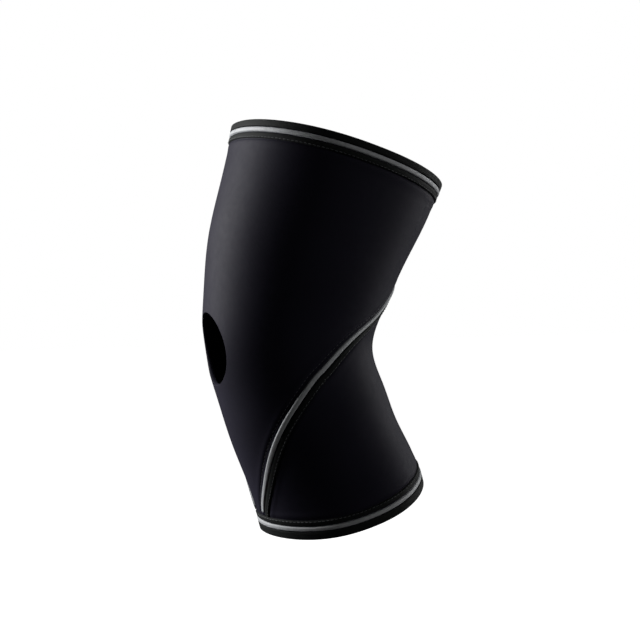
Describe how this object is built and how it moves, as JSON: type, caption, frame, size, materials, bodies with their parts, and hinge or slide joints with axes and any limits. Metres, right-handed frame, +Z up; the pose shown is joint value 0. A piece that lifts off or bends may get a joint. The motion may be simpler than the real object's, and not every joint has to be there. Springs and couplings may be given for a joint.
{
  "type": "knee sleeve",
  "caption": "Pull-on neoprene knee sleeve with an open kneecap, curved grey piping and bound rims, in its worn form.",
  "frame": {"origin": "middle of the knee inside the sleeve, 1 mm below the kneecap opening's centre, where the leg holds it", "axes": "+Z up the leg, the front of the knee faces -Y, +X to the side; the two sides are alike about X = 0"},
  "size_m": [0.1488, 0.1787, 0.3006],
  "materials": {
    "neoprene": "smooth fine jersey on neoprene foam, black, slightly satin",
    "black_tape": "woven nylon tape, black, matte",
    "grey_piping": "woven reflective grey tape, satin"
  },
  "bodies": {
    "root": {"front_panel": "neoprene", "calf_panel": "neoprene", "top_binding": "black_tape", "bottom_binding": "black_tape", "top_seam_tape": "black_tape", "bottom_seam_tape": "black_tape", "calf_seam_tape": "black_tape", "top_piping": "grey_piping", "bottom_piping": "grey_piping", "calf_piping": "grey_piping"}
  },
  "joints": []
}
